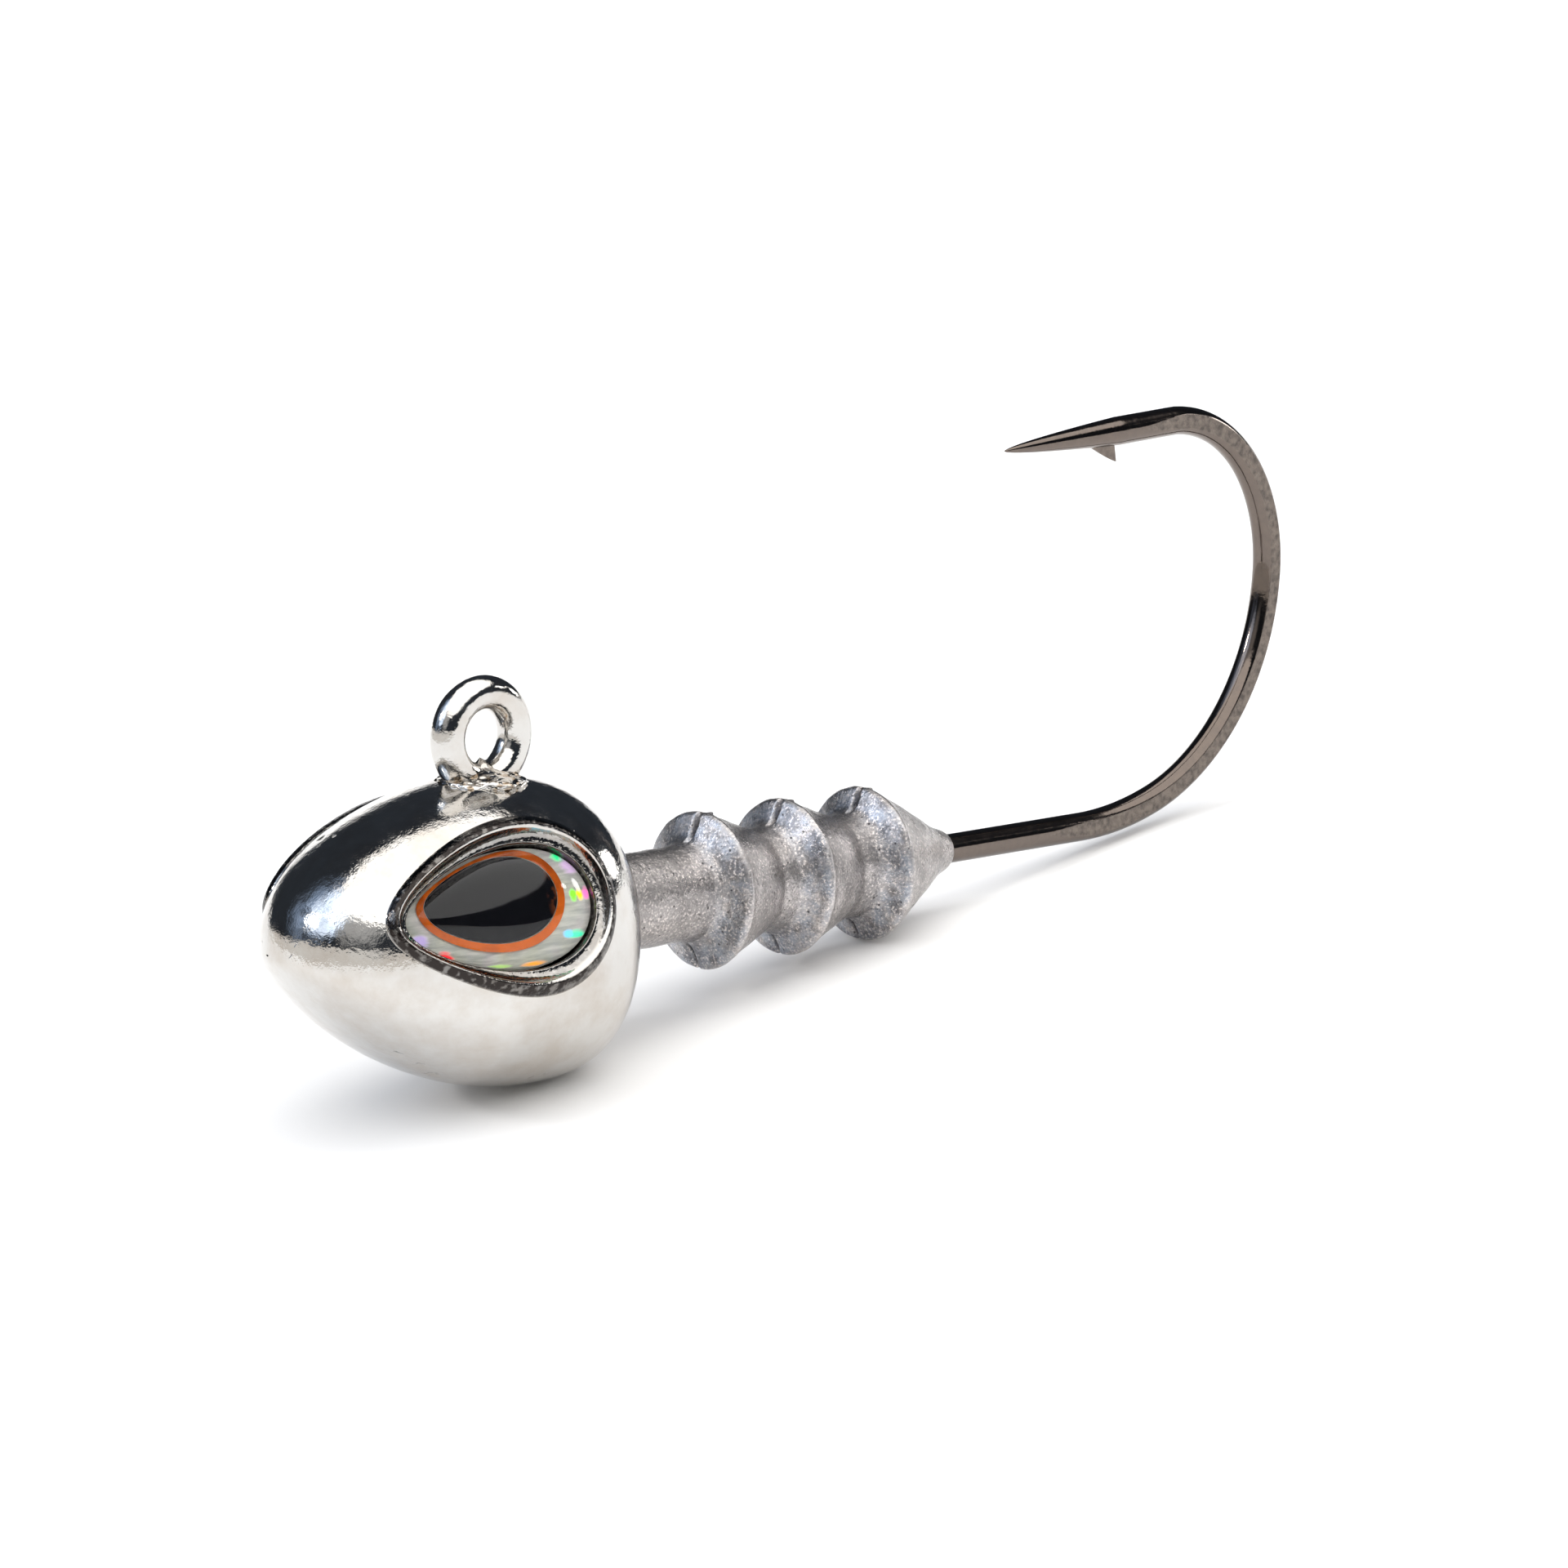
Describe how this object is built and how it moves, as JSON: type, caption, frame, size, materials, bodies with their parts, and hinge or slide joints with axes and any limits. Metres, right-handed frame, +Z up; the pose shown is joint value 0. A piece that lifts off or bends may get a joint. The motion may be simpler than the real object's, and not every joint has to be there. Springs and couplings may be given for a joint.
{
  "type": "jig head",
  "caption": "Plated lead jig head with domed eyes, a top line eye, a bare barbed bait-keeper collar and a forged hook that rides point up.",
  "frame": {"origin": "on the surface the jig lies on, under the middle of its outline; the jig rests on the belly of the head and on its rear barb", "axes": "+X along the jig from the nose towards the bend of the hook, +Y across it towards the right cheek, +Z up towards the hook point; the shank itself drops 9.1 degrees towards the tail"},
  "size_m": [0.0528, 0.012, 0.0171],
  "materials": {
    "chrome_plate": "bright chrome plate over cast lead, with small casting pits",
    "bare_lead": "bare cast lead, grey and mottled, with a dull sheen",
    "black_nickel": "smoky black-nickel plate on forged carbon steel",
    "hologram_film": "silver holographic polyester film",
    "orange_ink": "translucent orange print on the film",
    "black_ink": "solid black print on the film",
    "foam_tape": "white pressure-sensitive adhesive pad",
    "clear_resin": "clear domed urethane resin"
  },
  "bodies": {
    "root": {"head_casting": "chrome_plate", "bait_keeper_collar": "bare_lead", "line_eye": "chrome_plate", "hook": "black_nickel", "adhesive_pad_left": "foam_tape", "adhesive_pad_right": "foam_tape", "hologram_film_left": "hologram_film", "hologram_film_right": "hologram_film", "iris_print_left": "orange_ink", "iris_print_right": "orange_ink", "pupil_print_left": "black_ink", "pupil_print_right": "black_ink", "resin_dome_left": "clear_resin", "resin_dome_right": "clear_resin"}
  },
  "joints": []
}
